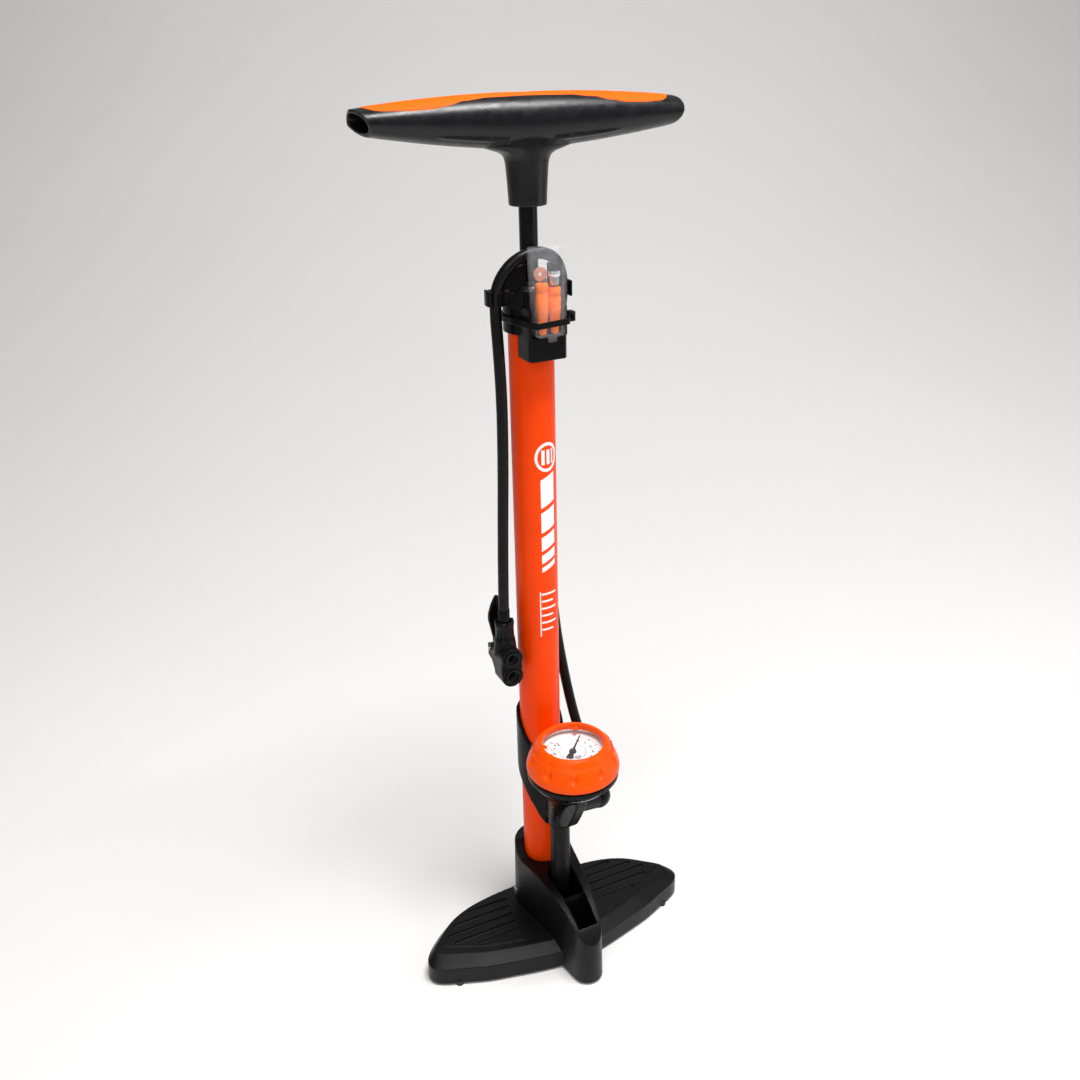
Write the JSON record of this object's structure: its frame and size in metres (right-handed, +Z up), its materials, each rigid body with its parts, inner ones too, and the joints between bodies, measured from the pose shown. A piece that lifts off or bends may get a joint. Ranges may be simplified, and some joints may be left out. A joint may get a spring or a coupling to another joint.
{
  "type": "floor bike pump",
  "caption": "Floor bike pump with a T-handle plunger, a steel barrel, a dial gauge with a marker ring, a twin-port head on a hose, and a case of nozzles.",
  "frame": {"origin": "on the barrel's axis at the floor, at the middle of the pad under the barrel", "axes": "+Z up the barrel; the gauge and the foot's nose point along -Y; the treads lie along X and the handle rests turned 8.5 degrees from them"},
  "size_m": [0.2342, 0.1206, 0.6713],
  "materials": {
    "black_plastic": "satin moulded texture",
    "foot_plastic": "fine moulded grain",
    "orange_paint": "gloss enamel",
    "orange_soft": "soft matte",
    "orange_plastic": "satin moulded",
    "black_rod": "gloss black",
    "cast_alloy": "as cast",
    "steel": "zinc plated",
    "chrome": "polished",
    "brass": "turned",
    "rubber": "matte",
    "hose_rubber": "satin",
    "clear_plastic": "clear moulded plastic",
    "lens_clear": "clear",
    "dial_white": "printed white",
    "needle_black": "matte black",
    "pink_plastic": "matte",
    "guide_plastic": "slippery moulded"
  },
  "bodies": {
    "pump": {"foot": "foot_plastic", "barrel": "orange_paint", "manifold": "cast_alloy", "riser_tube": "black_plastic", "base_plug": "cast_alloy", "base_o_ring": "rubber", "check_spring": "steel", "barrel_cap": "black_plastic", "rod_bush": "guide_plastic", "hose_bracket": "black_plastic", "cable_tie": "black_plastic", "case_tub": "clear_plastic", "case_lid": "clear_plastic", "ball_needle": "chrome", "spare_washer": "pink_plastic", "gauge_housing": "black_plastic", "outlet_elbow": "black_plastic", "outlet_ferrule": "black_plastic", "gauge_can": "steel", "gauge_stem": "brass", "bourdon_tube": "brass", "dial_plate": "dial_white", "needle_arbor": "steel", "gauge_lens": "lens_clear", "hose": "hose_rubber", "head_body": "black_plastic", "head_sleeve": "black_plastic", "head_ferrule": "black_plastic", "lever_pin": "steel", "foot_screws": "steel", "sole_pads": "rubber", "clamp_screw": "steel", "nozzle_long": "orange_plastic", "nozzle_short": "orange_plastic", "gasket_presta": "rubber", "gasket_schrader": "rubber", "port_rings": "black_plastic"},
    "piston": {"piston": "guide_plastic", "piston_o_ring": "rubber"},
    "plunger": {"piston_rod": "black_rod", "rod_nut": "steel", "rod_bumper": "rubber", "handle": "black_plastic", "handle_insert": "orange_soft", "handle_screw": "steel"},
    "bezel": {"bezel": "orange_plastic"},
    "needle": {"gauge_needle": "needle_black"},
    "lever": {"head_lever": "black_plastic"},
    "check_ball": {"check_ball": "steel"}
  },
  "joints": [
    {"name": "piston_slide", "type": "slide", "parent": "pump", "child": "piston", "axis": [0, 0, 1], "range_m": [-0.02, 0.42]},
    {"name": "handle_turn", "type": "hinge", "parent": "piston", "child": "plunger", "pos_m": [0, 0, 0.6], "axis": [0, 0, 1], "continuous": true},
    {"name": "bezel_turn", "type": "hinge", "parent": "pump", "child": "bezel", "pos_m": [0, -0.056, 0.2], "axis": [0, 0, 1], "continuous": true},
    {"name": "needle_sweep", "type": "hinge", "parent": "pump", "child": "needle", "pos_m": [0, -0.056, 0.207], "axis": [0, 0, -1], "range_deg": [0, 290], "stiffness_Nm_per_rad": 0.0002},
    {"name": "lever_lock", "type": "hinge", "parent": "pump", "child": "lever", "pos_m": [-0.0305, 0.005, 0.277], "axis": [-1, 0, 0], "range_deg": [0, 95]},
    {"name": "check_lift", "type": "slide", "parent": "pump", "child": "check_ball", "axis": [0, 0, -1], "range_m": [0, 0.0015], "stiffness_N_per_m": 60, "springref_m": -0.002, "deforming": ["check_spring"]}
  ]
}
